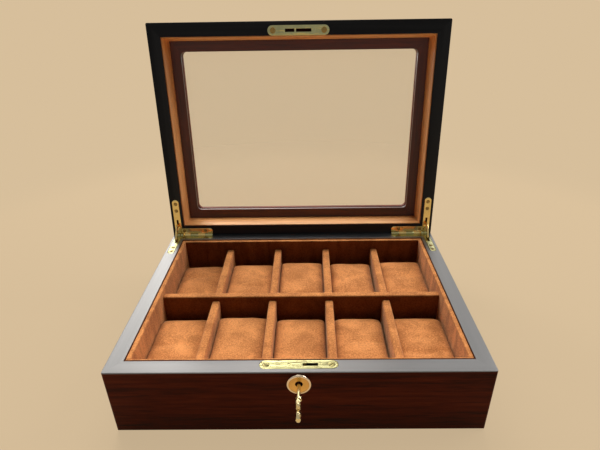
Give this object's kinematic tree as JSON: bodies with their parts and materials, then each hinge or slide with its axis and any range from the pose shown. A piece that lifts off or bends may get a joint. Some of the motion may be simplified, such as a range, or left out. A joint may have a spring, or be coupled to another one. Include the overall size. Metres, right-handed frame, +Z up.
{
  "type": "glazed watch display box",
  "caption": "Wooden display box with a glazed hinged lid, a lock and key, and a suede-lined tray of compartments with lift-out cushions.",
  "frame": {"origin": "centre of the box's flat underside", "axes": "+X to the right along the long side, +Y to the back where the hinges are, +Z up"},
  "size_m": [0.32, 0.3286, 0.307],
  "materials": {
    "veneer": "dark red-brown veneer under satin lacquer, rims stained black",
    "board": "plain stained board",
    "inner_frame": "dark satin lacquer",
    "moulding": "glossy brown lacquer",
    "felt": "black felt",
    "lining_suede": "brown suede, short nap",
    "cushion_suede": "brown suede, short nap, padded",
    "glass": "clear polished glass",
    "polished_brass": "polished",
    "screw_brass": "satin, slotted heads",
    "steel": "plain bright steel"
  },
  "bodies": {
    "base": {"base_front_wall": "veneer", "base_rear_wall": "veneer", "base_left_wall": "veneer", "base_right_wall": "veneer", "base_bottom_panel": "board", "base_felt": "felt", "lining_floor": "lining_suede", "lining_front": "lining_suede", "lining_rear": "lining_suede", "lining_left": "lining_suede", "lining_right": "lining_suede", "divider_long": "lining_suede", "divider_front_1": "lining_suede", "divider_front_2": "lining_suede", "divider_front_3": "lining_suede", "divider_front_4": "lining_suede", "divider_rear_1": "lining_suede", "divider_rear_2": "lining_suede", "divider_rear_3": "lining_suede", "divider_rear_4": "lining_suede", "lock_faceplate": "polished_brass", "escutcheon": "polished_brass", "base_hinge_leaf_left": "polished_brass", "base_hinge_leaf_right": "polished_brass", "lock_screws": "screw_brass", "base_hinge_screws": "screw_brass", "lock_case": "steel", "lock_cover": "steel", "lock_spring": "steel", "bolt_pivot": "steel", "hinge_pin_left": "steel", "hinge_pin_right": "steel"},
    "lid": {"lid_front_wall": "veneer", "lid_rear_wall": "veneer", "lid_left_wall": "veneer", "lid_right_wall": "veneer", "lid_top_frame": "veneer", "glass_retainer": "inner_frame", "lid_moulding": "moulding", "lid_glass": "glass", "strike_plate": "polished_brass", "lid_hinge_leaf_left": "polished_brass", "lid_hinge_leaf_right": "polished_brass", "strike_screws": "screw_brass", "lid_hinge_screws": "screw_brass"},
    "stay_left": {"stay_left": "polished_brass"},
    "stay_right": {"stay_right": "polished_brass"},
    "key_follower": {"key_follower": "polished_brass"},
    "key": {"key": "polished_brass"},
    "hook_bolt": {"hook_bolt": "polished_brass"},
    "cushion_front_1": {"cushion_front_1": "cushion_suede"},
    "cushion_front_2": {"cushion_front_2": "cushion_suede"},
    "cushion_front_3": {"cushion_front_3": "cushion_suede"},
    "cushion_front_4": {"cushion_front_4": "cushion_suede"},
    "cushion_front_5": {"cushion_front_5": "cushion_suede"},
    "cushion_rear_1": {"cushion_rear_1": "cushion_suede"},
    "cushion_rear_2": {"cushion_rear_2": "cushion_suede"},
    "cushion_rear_3": {"cushion_rear_3": "cushion_suede"},
    "cushion_rear_4": {"cushion_rear_4": "cushion_suede"},
    "cushion_rear_5": {"cushion_rear_5": "cushion_suede"}
  },
  "joints": [
    {"name": "lid_hinge", "type": "hinge", "parent": "base", "child": "lid", "pos_m": [0, 0.1188, 0.06815], "axis": [1, 0, 0], "range_deg": [0, 95]},
    {"name": "stay_left_turn", "type": "hinge", "parent": "base", "child": "stay_left", "pos_m": [0, 0.1188, 0.06815], "axis": [1, 0, 0], "range_deg": [0, 47.5]},
    {"name": "stay_right_turn", "type": "hinge", "parent": "base", "child": "stay_right", "pos_m": [0, 0.1188, 0.06815], "axis": [1, 0, 0], "range_deg": [0, 47.5]},
    {"name": "key_turn", "type": "hinge", "parent": "base", "child": "key_follower", "pos_m": [0, -0.112, 0.056], "axis": [0, -1, 0], "range_deg": [0, 90]},
    {"name": "bolt_turn", "type": "hinge", "parent": "base", "child": "hook_bolt", "pos_m": [0.017, -0.112, 0.0595], "axis": [0, 1, 0], "range_deg": [0, 55]},
    {"name": "key_withdraw", "type": "slide", "parent": "key_follower", "child": "key", "axis": [0, -1, 0], "range_m": [0, 0.045]},
    {"name": "cushion_front_1_lift", "type": "slide", "parent": "base", "child": "cushion_front_1", "axis": [0, 0, 1], "range_m": [0, 0.038]},
    {"name": "cushion_front_2_lift", "type": "slide", "parent": "base", "child": "cushion_front_2", "axis": [0, 0, 1], "range_m": [0, 0.038]},
    {"name": "cushion_front_3_lift", "type": "slide", "parent": "base", "child": "cushion_front_3", "axis": [0, 0, 1], "range_m": [0, 0.038]},
    {"name": "cushion_front_4_lift", "type": "slide", "parent": "base", "child": "cushion_front_4", "axis": [0, 0, 1], "range_m": [0, 0.038]},
    {"name": "cushion_front_5_lift", "type": "slide", "parent": "base", "child": "cushion_front_5", "axis": [0, 0, 1], "range_m": [0, 0.038]},
    {"name": "cushion_rear_1_lift", "type": "slide", "parent": "base", "child": "cushion_rear_1", "axis": [0, 0, 1], "range_m": [0, 0.038]},
    {"name": "cushion_rear_2_lift", "type": "slide", "parent": "base", "child": "cushion_rear_2", "axis": [0, 0, 1], "range_m": [0, 0.038]},
    {"name": "cushion_rear_3_lift", "type": "slide", "parent": "base", "child": "cushion_rear_3", "axis": [0, 0, 1], "range_m": [0, 0.038]},
    {"name": "cushion_rear_4_lift", "type": "slide", "parent": "base", "child": "cushion_rear_4", "axis": [0, 0, 1], "range_m": [0, 0.038]},
    {"name": "cushion_rear_5_lift", "type": "slide", "parent": "base", "child": "cushion_rear_5", "axis": [0, 0, 1], "range_m": [0, 0.038]}
  ],
  "couplings": [
    {"joint": "stay_left_turn", "follows": "lid_hinge", "ratio": 0.5},
    {"joint": "stay_right_turn", "follows": "lid_hinge", "ratio": 0.5},
    {"joint": "bolt_turn", "follows": "key_turn", "ratio": 0.61111}
  ]
}
